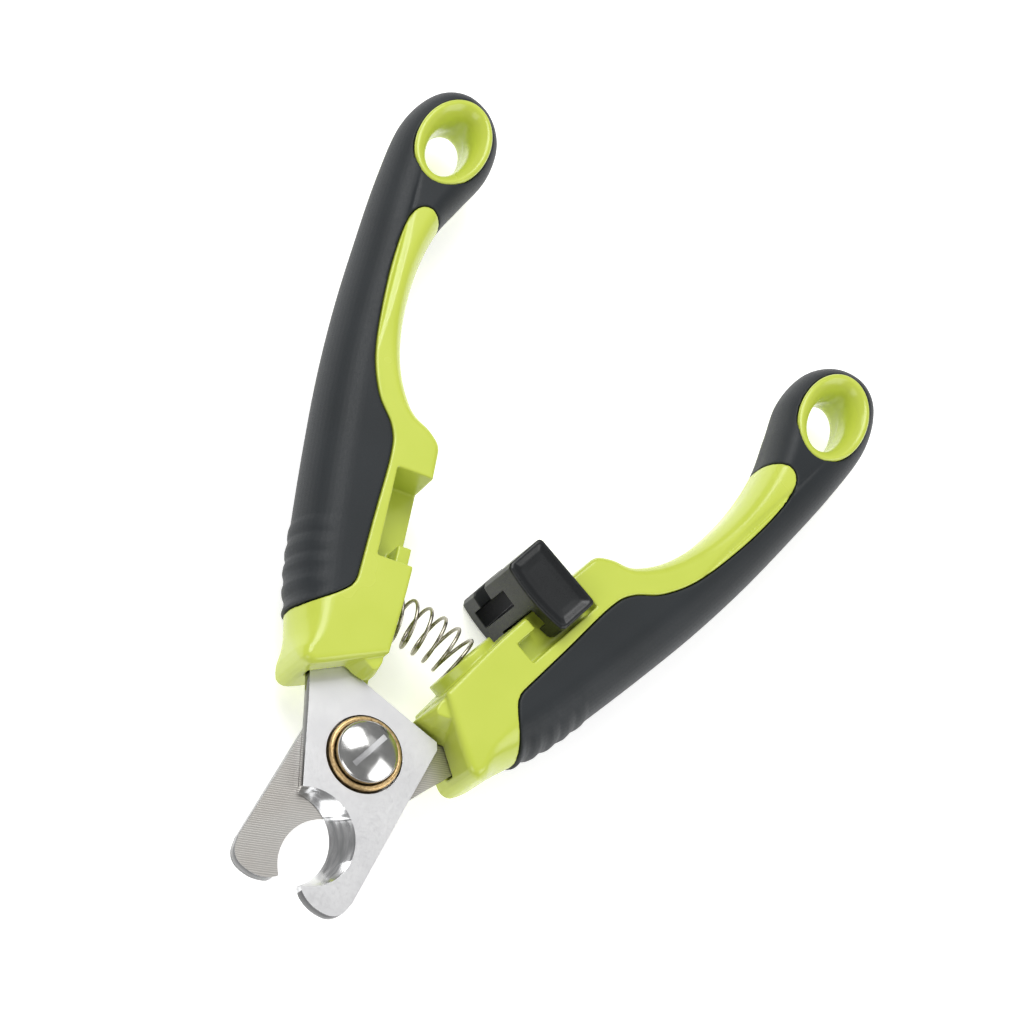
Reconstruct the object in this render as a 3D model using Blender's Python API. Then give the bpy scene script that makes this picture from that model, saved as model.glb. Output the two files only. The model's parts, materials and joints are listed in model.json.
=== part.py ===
"""Scissor nail clipper for pets: two crossing halves on one pivot, with a return spring and a lock slider.

Each half is drawn in its own frame in millimetres: the pivot is at (0, 0), +y runs up the handle and
+x points away from the other half.
"""

import math

import bmesh
import bpy
import numpy as np

# ---- driving dimensions, mm and degrees ----
OPEN_HALF_ANGLE = 16.8
PIVOT = (0.0, -41.214, 9.60)
HANDLE_HALF_THICK = 6.9
RING_END_HALF_THICK = 5.5
SPINE_HALF_THICK = 4.0
EDGE_STEPS = 5
CURVE_STEP = 2.6
PART_GAP = 0.3

BLADE_THICK = 2.2
SHEAR_GAP = 0.05
NOTCH_EDGE = (8.9, -15.7, 7.35)
NOTCH_FACE = (5.7, -14.9, 7.5)
TANG_END_Y = 24.0
UPPER_HOLE_R = 6.05
LOWER_HOLE_R = 3.0

BUSHING_R = 5.72
BUSHING_BORE_R = 3.0
BUSHING_TOP_Z = 2.95
SCREW_HEAD_R = 4.75
SCREW_RIM_Z = 3.9
SCREW_TOP_Z = 5.3
SCREW_SHANK_R = 2.9
SCREW_SLOT = (9.0, 0.9, 0.72)
WASHER_R = 5.4
WASHER_THICK = 0.7
NUT_FLATS = 8.0
NUT_THICK = 2.7

POCKET = (6.3, 29.3, 44.3)
DEEP_FLOOR_Z = -1.0
SHALLOW_FLOOR_Z = -4.5
RIB = (2.5, 33.4, 3.7)

SLIDER_X = (-7.5, 5.55)
SLIDER_Y = (35.4, 43.0)
SLIDER_SAG = 0.7
SLIDER_HALF_DEPTH = 9.6
SLIDER_WALL_X = (-2.0, 0.05)
SLIDER_PLAY = 0.35

SPRING_Y = 23.3
SPRING_COIL_R = 3.65
SPRING_WIRE_R = 0.29
SPRING_TURNS = 8.0
SPRING_SEAT_R = 4.4
SPRING_SEAT_X = 3.5
CUP_R = 6.0
CUP_FACE_X = -1.0

EYE_CENTRE = (9.0, 102.6)
EYE_AXES = (6.0, 8.5)
EYE_LEAN = 17.0

# ---- outlines in the half's own frame: (x, y) or (x, y, edge rounding) ----
OUTER_SIDE = (
    (14.7, 11.6, 2.4),
    (15.3, 15.0, 4.2),
    (16.5, 20.0, 5.6),
    (17.8, 26.0, 6.2),
    (18.6, 34.0, 6.2),
    (19.5, 46.0, 6.2),
    (20.1, 58.0, 6.0),
    (20.1, 70.0, 5.8),
    (19.5, 82.0, 5.6),
    (18.5, 95.0, 5.0),
    (16.8, 105.6, 4.5),
    (13.0, 112.1, 4.3),
    (8.1, 114.0, 4.1),
    (3.3, 111.9, 4.0),
    (0.7, 107.0, 3.8),
    (1.2, 100.8, 3.6),
    (4.0, 94.8, 3.6),
    (7.4, 87.5, 3.4),
    (9.4, 78.5, 3.2),
    (9.7, 69.0, 3.0),
    (8.4, 60.8, 2.6),
    (5.6, 54.8, 2.1),
    (2.4, 52.3, 1.4),
    (0.5, 50.2, 1.1),
    (0.3, 47.6, 0.9),
)
INNER_SIDE = ((0.3, 44.6, 0.7), (0.4, 27.5, 0.5), (1.0, 14.8, 0.6))
NOSE_FRONT = (
    (1.0, 14.8, 0.6),
    (4.0, 13.2, 0.9),
    (7.5, 11.5, 1.0),
    (10.6, 10.0, 1.0),
    (12.4, 9.4, 1.1),
    (13.9, 9.9, 1.6),
    (14.7, 11.6, 2.4),
)

GRIP_LINE_LOW = ((24.0, 18.4), (16.6, 18.8), (14.8, 19.2), (11.8, 21.0), (9.3, 23.3), (8.7, 24.9))
GRIP_LINE_HIGH = (
    (8.7, 24.9),
    (8.4, 35.0),
    (8.0, 46.0),
    (8.9, 50.4),
    (11.9, 54.7),
    (14.0, 61.0),
    (14.8, 70.0),
    (14.7, 79.5),
    (13.6, 86.8),
    (11.2, 89.5),
    (7.8, 88.3),
    (3.0, 84.0),
    (-3.0, 82.0),
)
SPINE = (
    (13.9, 19.6),
    (16.0, 34.0),
    (17.3, 48.0),
    (17.9, 62.0),
    (17.6, 75.0),
    (16.4, 87.0),
    (13.8, 91.6),
    (11.0, 90.6),
    (11.2, 82.0),
    (11.8, 71.0),
    (10.8, 61.0),
    (8.6, 54.0),
    (7.2, 46.0),
    (7.2, 34.0),
    (8.2, 24.0),
    (11.0, 19.0),
)
BLADE_BODY = (
    (11.1, 9.9),
    (10.2, 5.3),
    (9.2, -0.8),
    (8.1, -7.5),
    (6.6, -15.0),
    (5.0, -22.3),
    (4.2, -23.6),
    (2.3, -24.9),
    (-0.2, -25.4),
    (-2.0, -24.6),
    (-3.2, -22.6),
    (-10.9, 4.3),
    (-10.6, 5.5),
    (-9.3, 6.0),
    (2.7, 11.0),
)
NUB_OVER = (
    (1.1, 17.0),
    (1.3, 12.2),
    (2.0, 11.2),
    (3.0, 10.8),
    (4.4, 11.1),
    (6.0, 11.9),
    (8.2, 12.8),
    (8.2, 17.0),
)
NUB_STOP = (
    (1.1, 17.0),
    (1.2, 10.0),
    (1.7, 9.95),
    (2.9, 10.2),
    (4.5, 10.6),
    (6.3, 11.3),
    (8.2, 12.6),
    (8.2, 17.0),
)
NUB_TOP = (
    (1.4, 17.0),
    (1.5, 13.4),
    (1.9, 12.2),
    (2.6, 11.8),
    (3.6, 12.4),
    (4.8, 13.3),
    (7.4, 14.4),
    (7.4, 17.0),
)
TANG = ((4.8, 14.0), (4.8, TANG_END_Y), (12.0, TANG_END_Y), (12.0, 13.0))

# The left half is mirrored across its inner face, and the right half is the same moulding turned over.
TURNED = {
    "left": (-1.0, 1.0, 1.0),
    "right": (1.0, 1.0, -1.0),
    "plain": (1.0, 1.0, 1.0),
    "world": (1.0, 1.0, 1.0),
}

MATERIALS = {
    "green_plastic": ((0.60, 0.70, 0.08, 1.0), 0.0, 0.28),
    "grip_rubber": ((0.030, 0.036, 0.042, 1.0), 0.0, 0.62),
    "blade_steel": ((0.62, 0.62, 0.60, 1.0), 1.0, 0.30),
    "brass_ring": ((0.60, 0.42, 0.16, 1.0), 1.0, 0.38),
    "screw_chrome": ((0.80, 0.80, 0.80, 1.0), 1.0, 0.12),
    "zinc_hardware": ((0.55, 0.56, 0.57, 1.0), 1.0, 0.35),
    "spring_steel": ((0.36, 0.34, 0.31, 1.0), 1.0, 0.35),
    "slider_plastic": ((0.012, 0.013, 0.014, 1.0), 0.0, 0.38),
}


def clear_scene():
    for obj in list(bpy.data.objects):
        bpy.data.objects.remove(obj, do_unlink=True)


def material(name):
    found = bpy.data.materials.get(name)
    if found:
        return found
    made = bpy.data.materials.new(name)
    made.use_nodes = True
    colour, metallic, roughness = MATERIALS[name]
    shader = made.node_tree.nodes["Principled BSDF"]
    shader.inputs["Base Color"].default_value = colour
    shader.inputs["Metallic"].default_value = metallic
    shader.inputs["Roughness"].default_value = roughness
    made.diffuse_color = colour
    return made


def curve_through(points, step=CURVE_STEP, closed=False):
    """Points about one step apart along a Catmull-Rom curve through the control points."""
    control = np.array(points, float)
    if closed:
        control = np.vstack([control[-1], control, control[0], control[1]])
    else:
        control = np.vstack([2 * control[0] - control[1], control, 2 * control[-1] - control[-2]])
    out = []
    for i in range(1, len(control) - 2):
        a, b, c, d = control[i - 1 : i + 3]
        count = max(1, int(round(np.linalg.norm((c - b)[:2]) / step)))
        for t in np.arange(count) / count:
            bend = (2 * a - 5 * b + 4 * c - d) * t**2 + (3 * b - a - 3 * c + d) * t**3
            out.append(0.5 * (2 * b + (c - a) * t + bend))
    if not closed:
        out.append(control[-2])
    return np.array(out)


def outward(loop):
    """Mitred outward directions of a counter-clockwise loop, scaled so that an offset keeps its width."""
    before = loop[:, :2] - np.roll(loop[:, :2], 1, axis=0)
    after = np.roll(loop[:, :2], -1, axis=0) - loop[:, :2]
    first = np.column_stack([before[:, 1], -before[:, 0]]) / np.linalg.norm(before, axis=1)[:, None]
    second = np.column_stack([after[:, 1], -after[:, 0]]) / np.linalg.norm(after, axis=1)[:, None]
    middle = first + second
    middle /= np.linalg.norm(middle, axis=1)[:, None]
    return middle / np.maximum((middle * first).sum(axis=1), 0.5)[:, None]


def grown(loop, distance):
    return loop[:, :2] + outward(loop) * distance


def thickness(y):
    """Half thickness of a handle at a height y: level, then easing down towards the ring end."""
    t = np.clip((y - 70.0) / 40.0, 0.0, 1.0)
    return HANDLE_HALF_THICK + (RING_END_HALF_THICK - HANDLE_HALF_THICK) * t * t * (3 - 2 * t)


def object_of(name, mesh_points, faces, side, slot=None, cutter=False):
    """A mesh object from points in a half's own frame, in mm."""
    points = np.array(mesh_points, float) / 1000
    points *= TURNED[side]
    mesh = bpy.data.meshes.new(name)
    mesh.from_pydata([tuple(p) for p in points], [], [tuple(f) for f in faces])
    shape = bmesh.new()
    shape.from_mesh(mesh)
    bmesh.ops.recalc_face_normals(shape, faces=shape.faces[:])
    bmesh.ops.triangulate(shape, faces=shape.faces[:], ngon_method="EAR_CLIP")
    shape.to_mesh(mesh)
    shape.free()
    obj = bpy.data.objects.new(name, mesh)
    bpy.context.collection.objects.link(obj)
    obj.parent = HOLDERS[side]
    if cutter:
        obj.hide_render = True
        obj.display_type = "WIRE"
    else:
        mesh.materials.append(material(slot))
    return obj


def rings_to_faces(count, rings):
    faces = [tuple(range(count))[::-1]]
    for k in range(rings - 1):
        for i in range(count):
            j = (i + 1) % count
            faces.append((k * count + i, k * count + j, (k + 1) * count + j, (k + 1) * count + i))
    faces.append(tuple(range((rings - 1) * count, rings * count)))
    return faces


def prism(name, loop, low, high, side, slot=None, cutter=False, top_loop=None):
    """A straight or slanted prism from low to high."""
    base = np.array(loop, float)[:, :2]
    top = base if top_loop is None else np.array(top_loop, float)[:, :2]
    points = np.vstack(
        [np.column_stack([base, np.full(len(base), low)]), np.column_stack([top, np.full(len(top), high)])]
    )
    return object_of(name, points, rings_to_faces(len(base), 2), side, slot, cutter)


def lathe(name, profile, side, slot=None, cutter=False, segments=40):
    """A turned piece about the pivot axis, from a closed section of (radius, z). Radius 0 is the axis."""
    on_axis = profile[0][0] == 0.0
    angles = np.arange(segments) * 2 * math.pi / segments
    points = [(r * math.cos(a), r * math.sin(a), z) for r, z in profile for a in angles]
    count = len(profile)
    faces = []
    for k in range(count - 1 if on_axis else count):
        n = (k + 1) % count
        for i in range(segments):
            j = (i + 1) % segments
            faces.append((k * segments + i, k * segments + j, n * segments + j, n * segments + i))
    obj = object_of(name, points, faces, side, slot, cutter)
    if on_axis:
        shape = bmesh.new()
        shape.from_mesh(obj.data)
        bmesh.ops.remove_doubles(shape, verts=shape.verts[:], dist=1e-7)
        bmesh.ops.dissolve_degenerate(shape, dist=1e-7, edges=shape.edges[:])
        bmesh.ops.recalc_face_normals(shape, faces=shape.faces[:])
        shape.to_mesh(obj.data)
        shape.free()
    return obj


def boolean(obj, other, operation="DIFFERENCE"):
    made = obj.modifiers.new(other.name, "BOOLEAN")
    made.object = other
    made.operation = operation
    made.solver = "EXACT"


def shade_smooth(obj):
    for face in obj.data.polygons:
        face.use_smooth = True


def handle_loop():
    """The handle's closed outline, counter-clockwise, with its edge rounding as a third column."""
    outer = curve_through(OUTER_SIDE)[:-1]
    inner = np.array(INNER_SIDE[:-1], float)
    nose = curve_through(NOSE_FRONT)[:-1]
    return np.vstack([outer, inner, nose])


def handle_solid(name, side, slot):
    """The whole moulded half with rounded edges, before it is split into core and grip."""
    loop = handle_loop()
    push = outward(loop)
    half = thickness(loop[:, 1])
    edge = loop[:, 2]
    ease = np.clip((edge - 1.5) / 3.0, 0.0, 1.0)
    tall = edge + (half - edge) * ease * ease * (3 - 2 * ease)
    steps = [math.sin(math.radians(90 * k / EDGE_STEPS)) for k in range(EDGE_STEPS + 1)]
    levels = [(-1, s) for s in steps[::-1]] + [(1, s) for s in steps]
    points = []
    for sign, s in levels:
        inset = edge * (1 - math.sqrt(max(0.0, 1 - s * s)))
        z = sign * np.maximum(half - tall * (1 - s), 0.12)
        points.append(np.column_stack([loop[:, :2] - push * inset[:, None], z]))
    return object_of(name, np.vstack(points), rings_to_faces(len(loop), len(levels)), side, slot)


def box(name, low, high, side, slot=None, cutter=False):
    loop = [(low[0], low[1]), (high[0], low[1]), (high[0], high[1]), (low[0], high[1])]
    return prism(name, loop, low[2], high[2], side, slot, cutter)


def grip_region(growth):
    """Everything on the grip's side of the line between the grip and the green core."""
    line = np.vstack([curve_through(GRIP_LINE_LOW)[:-1], curve_through(GRIP_LINE_HIGH)])
    corners = np.array([(-12.0, 84.0), (-12.0, 125.0), (34.0, 125.0), (34.0, 18.4)])
    loop = np.vstack([line, corners])[::-1]
    return grown(loop, growth)


def eyelet_sides():
    """The eyelet liner's section as (offset from the lip ellipse, z): its inside, then its outside."""
    lip = RING_END_HALF_THICK + 0.25
    flare = [(-0.9, lip), (-1.9, lip - 1.0), (-2.6, lip - 2.6)]
    inside = flare + [(-2.9, 0.0)] + [(offset, -z) for offset, z in flare[::-1]]
    outside = [(0.0, 0.2 - lip), (-0.1, 1.0 - lip), (-1.1, 2.4 - lip), (-1.3, 0.0)]
    return inside, outside + [(-1.1, lip - 2.4), (-0.1, lip - 1.0), (0.0, lip - 0.2)]


def eye_loop(offset, count=40):
    """The eyelet's leaning ellipse, grown by an offset."""
    lean = math.radians(EYE_LEAN)
    angles = np.arange(count) * 2 * math.pi / count
    x = (EYE_AXES[0] + offset) * np.cos(angles)
    y = (EYE_AXES[1] + offset) * np.sin(angles)
    turned_x_part = x * math.cos(lean) - y * math.sin(lean)
    turned_y_part = x * math.sin(lean) + y * math.cos(lean)
    return np.column_stack([turned_x_part, turned_y_part]) + np.array(EYE_CENTRE)


def eyelet(side):
    inside, outside = eyelet_sides()
    section = inside + outside
    count = 40
    points = np.vstack([np.column_stack([eye_loop(r, count), np.full(count, z)]) for r, z in section])
    faces = []
    for k in range(len(section)):
        n = (k + 1) % len(section)
        for i in range(count):
            j = (i + 1) % count
            faces.append((k * count + i, k * count + j, n * count + j, n * count + i))
    obj = object_of(side + "_eyelet", points, faces, side, "green_plastic")
    shade_smooth(obj)
    return obj


def eyelet_space(side):
    """The hole that the liner stands in."""
    outside = eyelet_sides()[1]
    reach = RING_END_HALF_THICK + 3.0
    levels = [(0.0, -reach)] + outside + [(0.0, reach)]
    points = np.vstack([np.column_stack([eye_loop(r + PART_GAP), np.full(40, z)]) for r, z in levels])
    return object_of(side + "_eye_space", points, rings_to_faces(40, len(levels)), side, cutter=True)


def make_half(side):
    core = handle_solid(side + "_core", side, "green_plastic")
    grip = handle_solid(side + "_grip", side, "grip_rubber")
    boolean(core, prism(side + "_cut_grip", grip_region(PART_GAP), -12, 12, side, cutter=True))
    spine_loop = curve_through(SPINE, closed=True)
    spine = prism(side + "_spine", spine_loop, -SPINE_HALF_THICK, SPINE_HALF_THICK, side, cutter=True)
    boolean(core, spine, "UNION")
    reach = SPINE_HALF_THICK + PART_GAP
    around = grown(spine_loop, PART_GAP)
    boolean(grip, prism(side + "_spine_space", around, -reach, reach, side, cutter=True))
    boolean(grip, prism(side + "_keep_grip", grip_region(0.0), -12, 12, side, cutter=True), "INTERSECT")

    depth, low, high = POCKET
    rib_x, rib_y, rib_z = RIB
    pocket = [(-3.0, rib_y), (rib_x, rib_y), (rib_x, low), (depth, low), (depth, high), (-3.0, high)]
    boolean(core, prism(side + "_deep_pocket", pocket, DEEP_FLOOR_Z, 9.0, side, cutter=True))
    boolean(core, prism(side + "_shallow_pocket", pocket, -9.0, SHALLOW_FLOOR_Z, side, cutter=True))
    above_rib = ((-3.0, low, rib_z), (rib_x + 0.1, rib_y + 0.1, 9.0))
    boolean(core, box(side + "_rib_top", *above_rib, side, cutter=True))

    slot_loop = grown(np.array(TANG + BLADE_BODY, float)[::-1], 0.2)
    slot_low, slot_high = SHEAR_GAP - 0.2, BLADE_THICK + 0.2
    boolean(core, prism(side + "_tang_slot", slot_loop, slot_low, slot_high, side, cutter=True))

    if side == "right":
        boolean(core, turned_x("right_cup", CUP_R, CUP_FACE_X, 2.4, side), "UNION")
    boolean(core, turned_x(side + "_seat", SPRING_SEAT_R, -6.0, SPRING_SEAT_X, side))
    boolean(core, turned_x(side + "_spring_post", 2.5, -0.3, SPRING_SEAT_X + 0.4, side, tip=0.6), "UNION")

    boolean(core, nub(side + "_nub_over_blade", NUB_OVER, BLADE_THICK + 0.25, 5.9, side), "UNION")
    boolean(core, nub(side + "_nub_stop", NUB_STOP, -0.2, -5.9, side), "UNION")

    eyelet(side)
    boolean(grip, eyelet_space(side))
    shade_smooth(grip)

    name = {"left": "upper_blade", "right": "lower_blade"}[side]
    blade = prism(name, TANG + BLADE_BODY, SHEAR_GAP, BLADE_THICK, side, "blade_steel")
    boolean(blade, notch(side + "_notch", side))
    hole = {"left": UPPER_HOLE_R, "right": LOWER_HOLE_R}[side]
    plug = [(0.0, -5.0), (hole, -5.0), (hole, 5.0), (0.0, 5.0)]
    boolean(blade, lathe(side + "_pivot_hole", plug, side, cutter=True))


def notch(name, side):
    """The cutting notch: a slanted cylinder, so that its wall is the bevel behind the cutting edge."""
    edge, face = np.array(NOTCH_EDGE), np.array(NOTCH_FACE)
    slope = (face - edge) / BLADE_THICK
    loops = []
    for depth in (-0.6, BLADE_THICK + 0.6):
        x, y, radius = edge + slope * depth
        angles = np.arange(56) * 2 * math.pi / 56
        loops.append(np.column_stack([x + radius * np.cos(angles), y + radius * np.sin(angles)]))
    return prism(name, loops[0], -0.6, BLADE_THICK + 0.6, side, cutter=True, top_loop=loops[1])


def turned_x(name, radius, low, high, side, tip=0.0):
    """A round piece whose axis runs along x, at the spring's height."""
    count = 32
    stations = [(low, radius), (high, radius)]
    if tip:
        stations = [(low, radius - tip), (low + tip, radius), (high, radius)]
    points = []
    for x, r in stations:
        for k in range(count):
            a = 2 * math.pi * k / count
            points.append((x, SPRING_Y + r * math.cos(a), r * math.sin(a)))
    return object_of(name, points, rings_to_faces(count, len(stations)), side, cutter=True)


def nub(name, base, low, high, side):
    """A guide finger on the nose, tapering from the blades out to the face."""
    if high < low:
        return prism(name, NUB_TOP, high, low, side, cutter=True, top_loop=base)
    return prism(name, base, low, high, side, cutter=True, top_loop=NUB_TOP)


def make_pivot():
    side = "plain"
    base = SHEAR_GAP + 0.1
    seat = 1.1
    ring = [
        (BUSHING_BORE_R, base),
        (BUSHING_R, base),
        (BUSHING_R, BUSHING_TOP_Z - 0.45),
        (BUSHING_R - 0.18, BUSHING_TOP_Z - 0.12),
        (BUSHING_R - 0.45, BUSHING_TOP_Z),
        (BUSHING_R - 0.72, BUSHING_TOP_Z - 0.12),
        (SCREW_HEAD_R + 0.15, BUSHING_TOP_Z - 0.5),
        (SCREW_HEAD_R + 0.15, seat),
        (BUSHING_BORE_R, seat),
    ]
    shade_smooth(lathe("pivot_bushing", ring, side, "brass_ring"))

    nut_top = -BLADE_THICK - 0.1 - WASHER_THICK - 0.1
    end = nut_top - NUT_THICK - 0.4
    rise = SCREW_TOP_Z - SCREW_RIM_Z
    dome = [(SCREW_HEAD_R * k, SCREW_RIM_Z + rise * (1 - k * k)) for k in (0.97, 0.85, 0.7, 0.5, 0.25)]
    shank = [(0.0, end), (SCREW_SHANK_R - 0.5, end), (SCREW_SHANK_R, end + 0.5), (SCREW_SHANK_R, seat + 0.1)]
    head = [(SCREW_HEAD_R, seat + 0.1), (SCREW_HEAD_R, SCREW_RIM_Z - 0.15)] + dome + [(0.0, SCREW_TOP_Z)]
    screw = lathe("pivot_screw", shank + head, side, "screw_chrome")
    length, width, deep = SCREW_SLOT
    cut = box(
        "screw_slot",
        (-width / 2, -length / 2, SCREW_TOP_Z - deep),
        (width / 2, length / 2, SCREW_TOP_Z + 2),
        side,
        cutter=True,
    )
    boolean(screw, cut)
    shade_smooth(screw)

    washer_top = -BLADE_THICK - 0.1
    washer = [
        (SCREW_SHANK_R + 0.1, washer_top - WASHER_THICK),
        (WASHER_R, washer_top - WASHER_THICK),
        (WASHER_R, washer_top),
        (SCREW_SHANK_R + 0.1, washer_top),
    ]
    lathe("pivot_washer", washer, side, "zinc_hardware")

    corner = NUT_FLATS / 2 / math.cos(math.radians(30))
    hexagon = [(corner * math.cos(math.pi / 3 * k), corner * math.sin(math.pi / 3 * k)) for k in range(6)]
    nut = prism("pivot_nut", hexagon, nut_top - NUT_THICK, nut_top, side, "zinc_hardware")
    bore = SCREW_SHANK_R + 0.08
    plug = [(0.0, -12.0), (bore, -12.0), (bore, 0.0), (0.0, 0.0)]
    boolean(nut, lathe("nut_bore", plug, side, cutter=True))


def make_slider():
    """The lock slider: one block through both faces, slotted for each half's web and rib."""
    left, right = SLIDER_X
    low, high = SLIDER_Y
    deep = SLIDER_HALF_DEPTH
    across = np.linspace(left + 0.5, right - 0.5, 9)
    middle, reach = (left + right) / 2, (right - left) / 2
    arc = [(x, low - SLIDER_SAG * (1 - ((x - middle) / reach) ** 2)) for x in across]
    sides = [(right, low + 0.6), (right, high - 0.6), (right - 0.6, high)]
    plan = np.array(arc + sides + [(left + 0.6, high), (left, high - 0.6), (left, low + 0.6)])
    inset = grown(plan, -0.6)
    levels = ((inset, -deep), (plan, 0.6 - deep), (plan, deep - 0.6), (inset, deep))
    points = np.vstack([np.column_stack([loop, np.full(len(loop), z)]) for loop, z in levels])
    slider = object_of("lock_slider", points, rings_to_faces(len(plan), 4), "plain", "slider_plastic")
    wall_low, wall_high = SLIDER_WALL_X
    rib = RIB[0] + SLIDER_PLAY - wall_high + 0.15
    web = (DEEP_FLOOR_Z + SLIDER_PLAY, SHALLOW_FLOOR_Z - SLIDER_PLAY)
    catch = (RIB[2] + SLIDER_PLAY, -HANDLE_HALF_THICK - SLIDER_PLAY)
    cuts = {
        "left_web_slot": ((-12.0, 20.0, web[1]), (wall_low, 55.0, web[0])),
        "left_rib_slot": ((wall_low - rib, 20.0, catch[1]), (wall_low, 55.0, catch[0])),
        "right_web_slot": ((wall_high, 20.0, -web[0]), (12.0, 55.0, -web[1])),
        "right_rib_slot": ((wall_high, 20.0, -catch[0]), (wall_high + rib, 55.0, -catch[1])),
    }
    for name, (first, second) in cuts.items():
        boolean(slider, box("slider_" + name, first, second, "plain", cutter=True))
    for face, sign in (("top", 1), ("back", -1)):
        boolean(slider, dish("slider_dish_" + face, sign))


def dish(name, sign):
    """A shallow thumb hollow: the cap of a large ball sunk into the face of the block."""
    shape = bmesh.new()
    bmesh.ops.create_uvsphere(shape, u_segments=40, v_segments=24, radius=0.017)
    centre_x = (SLIDER_X[0] + SLIDER_X[1]) / 2 / 1000
    centre_y = (SLIDER_Y[0] + SLIDER_Y[1] - SLIDER_SAG) / 2 / 1000
    for vert in shape.verts:
        vert.co.x = vert.co.x * 1.25 + centre_x
        vert.co.y = vert.co.y * 0.78 + centre_y
        vert.co.z = vert.co.z + sign * (SLIDER_HALF_DEPTH / 1000 - 0.0006 + 0.017)
    mesh = bpy.data.meshes.new(name)
    shape.to_mesh(mesh)
    shape.free()
    obj = bpy.data.objects.new(name, mesh)
    bpy.context.collection.objects.link(obj)
    obj.parent = HOLDERS["plain"]
    obj.hide_render = True
    obj.display_type = "WIRE"
    return obj


def make_spring():
    """A coil bent round the pivot, from the right seat to the left seat, at rest."""
    half = math.radians(OPEN_HALF_ANGLE)
    end = math.asin((SPRING_SEAT_X - 1.0) / SPRING_Y) + half
    ring, sides = 14, 6
    total = int(SPRING_TURNS * ring)
    points = []
    for k in range(total + 1):
        t = k / total
        along = end * (1 - 2 * t)
        twist = 2 * math.pi * SPRING_TURNS * t
        out = SPRING_Y + SPRING_COIL_R * math.cos(twist)
        up = -SPRING_COIL_R * math.sin(twist)
        base = np.array((out * math.sin(along), out * math.cos(along), up))
        hub = np.array((SPRING_Y * math.sin(along), SPRING_Y * math.cos(along), 0.0))
        radial = (base - hub) / np.linalg.norm(base - hub)
        axis = np.array((math.cos(along), -math.sin(along), 0.0))
        for s in range(sides):
            a = 2 * math.pi * s / sides
            points.append(base + SPRING_WIRE_R * (radial * math.cos(a) + axis * math.sin(a)))
    spring = object_of("return_spring", points, rings_to_faces(sides, total + 1), "world", "spring_steel")
    shade_smooth(spring)


def holder(name, turn):
    empty = bpy.data.objects.new(name, None)
    empty.location = [v / 1000 for v in PIVOT]
    empty.rotation_euler = (0.0, 0.0, math.radians(turn))
    empty.empty_display_size = 0.01
    bpy.context.collection.objects.link(empty)
    return empty


clear_scene()
HOLDERS = {
    "right": holder("right_half_axis", -OPEN_HALF_ANGLE),
    "left": holder("left_half_axis", OPEN_HALF_ANGLE),
    "world": holder("bisector", 0.0),
}
HOLDERS["plain"] = HOLDERS["right"]
make_half("left")
make_half("right")
make_pivot()
make_slider()
make_spring()
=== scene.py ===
import json
import math

import bmesh
import bpy
import numpy as np
from mathutils import Matrix, Vector


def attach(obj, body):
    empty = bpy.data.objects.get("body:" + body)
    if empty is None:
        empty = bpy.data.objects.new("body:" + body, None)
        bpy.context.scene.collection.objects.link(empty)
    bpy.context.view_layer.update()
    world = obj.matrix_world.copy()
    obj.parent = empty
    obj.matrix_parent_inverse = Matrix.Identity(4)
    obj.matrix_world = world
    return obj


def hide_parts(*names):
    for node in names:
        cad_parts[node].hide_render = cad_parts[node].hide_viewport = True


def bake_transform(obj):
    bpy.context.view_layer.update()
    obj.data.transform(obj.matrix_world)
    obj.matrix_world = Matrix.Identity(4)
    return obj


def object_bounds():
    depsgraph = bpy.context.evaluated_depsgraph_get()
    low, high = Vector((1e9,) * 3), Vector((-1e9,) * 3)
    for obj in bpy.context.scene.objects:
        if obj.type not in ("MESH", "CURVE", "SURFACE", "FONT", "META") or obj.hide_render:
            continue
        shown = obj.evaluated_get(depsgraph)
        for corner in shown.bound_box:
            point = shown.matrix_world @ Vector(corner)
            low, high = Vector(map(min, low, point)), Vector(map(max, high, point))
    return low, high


# Looks of the scissor nail clipper. Sizes are in millimetres in each half's own frame: the pivot is at
# (0, 0), +y runs up the handle and +x points away from the other half. The pivot's place and the angle
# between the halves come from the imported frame.

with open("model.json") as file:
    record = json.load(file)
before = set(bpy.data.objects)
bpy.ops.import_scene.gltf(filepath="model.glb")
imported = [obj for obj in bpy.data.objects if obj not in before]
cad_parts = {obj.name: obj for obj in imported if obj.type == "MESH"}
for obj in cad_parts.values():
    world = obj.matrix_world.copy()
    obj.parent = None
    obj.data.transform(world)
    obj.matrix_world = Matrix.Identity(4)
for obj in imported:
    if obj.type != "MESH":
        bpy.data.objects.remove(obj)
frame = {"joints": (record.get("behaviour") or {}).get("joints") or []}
cad_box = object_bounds()
joints = {joint["name"]: joint for joint in frame["joints"]}
PIVOT = np.array(joints["handle_pivot"]["pos_m"])
SLIDE_AXIS = joints["lock_slide"]["axis"]
OPEN_HALF_ANGLE = math.atan2(-SLIDE_AXIS[0], -SLIDE_AXIS[1])

HALF_THICK = 6.9
RING_END_HALF_THICK = 5.5
SPINE_HALF_THICK = 4.0
PAST_FACE_Z = 12.0
PART_GAP = 0.3
EDGE_STEPS = 12
CURVE_STEP = 0.9
ROUND_STEPS = 96
PLASTIC_GRID = 0.2
SLIDER_GRID = 0.12

BLADE_THICK = 2.2
SHEAR_GAP = 0.05
NOTCH_EDGE = (8.9, -15.7, 7.35)
NOTCH_FACE = (5.7, -14.9, 7.5)
TANG_END_Y = 24.0
UPPER_HOLE_R = 6.05
LOWER_HOLE_R = 3.0
BLADE_EDGE_ROUND = 0.14
TIP_STEP = 0.4
NOTCH_OVERRUN = 0.6
TANG_SLOT_GAP = 0.2
NUB_HIGH_Z = 5.9

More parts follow.
